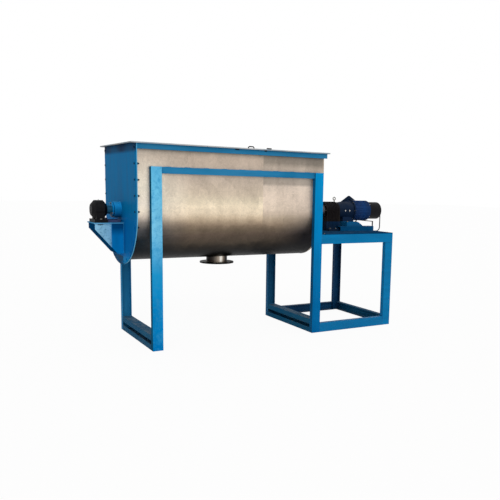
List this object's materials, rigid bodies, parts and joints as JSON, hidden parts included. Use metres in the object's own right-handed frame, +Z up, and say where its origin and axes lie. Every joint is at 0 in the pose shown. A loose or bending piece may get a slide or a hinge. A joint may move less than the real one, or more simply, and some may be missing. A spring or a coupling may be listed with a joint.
{
  "type": "ribbon blender",
  "caption": "Horizontal ribbon blender: U-shaped steel trough on channel legs, hinged lid, bottom outlet, outboard bearing shelf and geared motor on a side table.",
  "frame": {"origin": "floor level, in the vertical plane of the agitator's shaft, halfway along the part's whole length", "axes": "+X along the shaft from the outboard bearing towards the motor, +Y from the front to the lid's hinge side, +Z up"},
  "size_m": [4.463, 1.37, 2.462],
  "materials": {
    "frame_paint": "satin blue paint",
    "cover_paint": "satin blue paint, dusty",
    "sheet_steel": "matt rolled sheet",
    "agitator_steel": "ground and polished welds",
    "deck_plate": "dark paint, worn",
    "drive_blue": "dark blue machine paint",
    "black_casting": "black painted casting",
    "cowl_black": "satin black",
    "zinc_fasteners": "zinc plated",
    "hinge_steel": "satin blue paint",
    "bearing_steel": "ground steel",
    "coupling_iron": "machined casting",
    "seal_rubber": "matt",
    "packing_fibre": "braided, greasy",
    "black_grip": "matt",
    "fan_plastic": "matt",
    "cable_rubber": "satin"
  },
  "bodies": {
    "machine_frame": {"leg_front_left": "frame_paint", "leg_rear_left": "frame_paint", "leg_front_right": "frame_paint", "leg_rear_right": "frame_paint", "end_sill_left": "frame_paint", "end_sill_right": "frame_paint", "side_rail_front": "frame_paint", "side_rail_rear": "frame_paint", "table_rail_front": "frame_paint", "table_rail_rear": "frame_paint", "table_leg_front": "frame_paint", "table_leg_rear": "frame_paint", "table_sills": "frame_paint", "table_end_beams": "frame_paint", "drive_base": "frame_paint", "trough_flange": "frame_paint", "rim_front": "frame_paint", "rim_rear": "frame_paint", "end_plate_left": "frame_paint", "bearing_bracket": "frame_paint", "bearing_pedestal": "frame_paint", "stuffing_boxes": "frame_paint", "gland_followers": "frame_paint", "tail_support": "black_casting", "end_plate_right": "sheet_steel", "trough_shell": "sheet_steel", "outlet_spout": "sheet_steel", "cover_bridge": "sheet_steel", "fixed_cover": "cover_paint", "drive_deck": "deck_plate", "end_gasket": "seal_rubber", "cover_gasket": "seal_rubber", "packing_rings": "packing_fibre", "end_bolts": "zinc_fasteners", "gland_studs": "zinc_fasteners", "hold_down_bolts": "zinc_fasteners", "lifting_eye": "zinc_fasteners", "hinge_brackets": "hinge_steel", "drip_tray": "sheet_steel", "bearing_block_left": "black_casting", "bearing_block_right": "black_casting", "gearbox_housing": "black_casting", "fan_cowl": "cowl_black", "bearing_rings": "bearing_steel", "motor_adapter": "drive_blue", "motor_frame": "drive_blue", "terminal_box": "drive_blue", "motor_lead": "cable_rubber"},
    "agitator": {"agitator_shaft": "agitator_steel", "outer_ribbons": "agitator_steel", "inner_ribbons": "agitator_steel", "ribbon_arms": "agitator_steel", "shaft_coupling": "coupling_iron", "gearbox_shaft": "bearing_steel"},
    "lid": {"hinged_lid": "cover_paint", "lid_gasket": "seal_rubber", "lid_handle": "black_grip", "hinge_straps": "hinge_steel"},
    "motor_rotor_set": {"motor_rotor": "bearing_steel", "cooling_fan": "fan_plastic"}
  },
  "joints": [
    {"name": "agitator_spin", "type": "hinge", "parent": "machine_frame", "child": "agitator", "pos_m": [0, 0, 1.63], "axis": [1, 0, 0], "continuous": true},
    {"name": "motor_spin", "type": "hinge", "parent": "machine_frame", "child": "motor_rotor_set", "pos_m": [1.6285, 0, 1.63], "axis": [1, 0, 0], "continuous": true},
    {"name": "lid_hinge", "type": "hinge", "parent": "machine_frame", "child": "lid", "pos_m": [-0.1705, 0.672, 2.419], "axis": [-1, 0, 0], "range_deg": [0, 100]}
  ],
  "couplings": [
    {"joint": "motor_spin", "follows": "agitator_spin", "ratio": 40}
  ]
}
